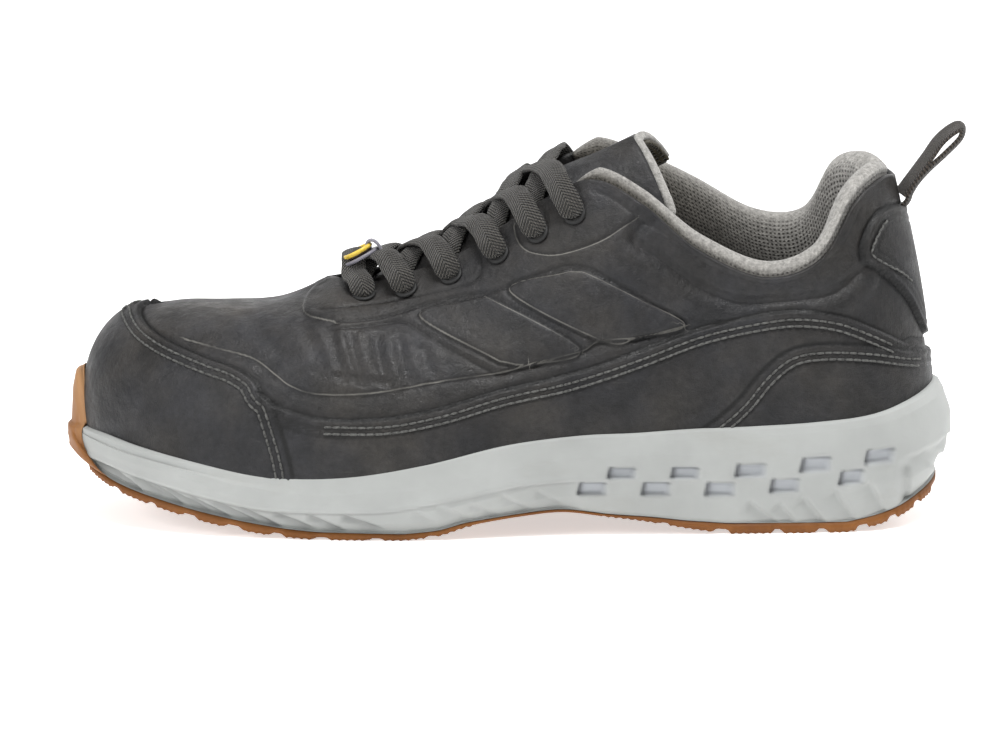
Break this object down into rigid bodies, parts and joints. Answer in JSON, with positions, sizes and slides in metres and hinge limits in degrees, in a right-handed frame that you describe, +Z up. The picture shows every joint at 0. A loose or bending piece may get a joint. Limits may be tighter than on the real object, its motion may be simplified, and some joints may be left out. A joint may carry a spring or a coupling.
{
  "type": "safety sneaker",
  "caption": "Low-cut safety sneaker for the left foot, black leather upper with a toe cap, laces, padded mesh collar, grey foam midsole and gum rubber tread.",
  "frame": {"origin": "the middle of the bounding box's base, on the floor under the shoe", "axes": "+X from the toe to the heel, +Y towards the inner (medial) side of the foot, +Z up"},
  "size_m": [0.3092, 0.1112, 0.1345],
  "materials": {
    "black_leather": "satin, fine grain",
    "grey_mesh": "matte spacer mesh",
    "dark_foam": "matte",
    "grey_foam": "smooth matte foam",
    "gum_rubber": "matte",
    "black_cord": "woven",
    "tag_plastic": "satin"
  },
  "bodies": {
    "root": {"collar_lining": "grey_mesh", "heel_counter": "black_leather", "heel_tab": "black_leather", "inner_rand": "black_leather", "insole": "dark_foam", "lace_tag": "tag_plastic", "laces": "black_cord", "midsole": "grey_foam", "outer_rand": "black_leather", "outsole": "gum_rubber", "pull_loop": "black_cord", "toe_cap": "black_leather", "toe_guard": "gum_rubber", "tongue": "black_leather", "upper": "black_leather"}
  },
  "joints": []
}
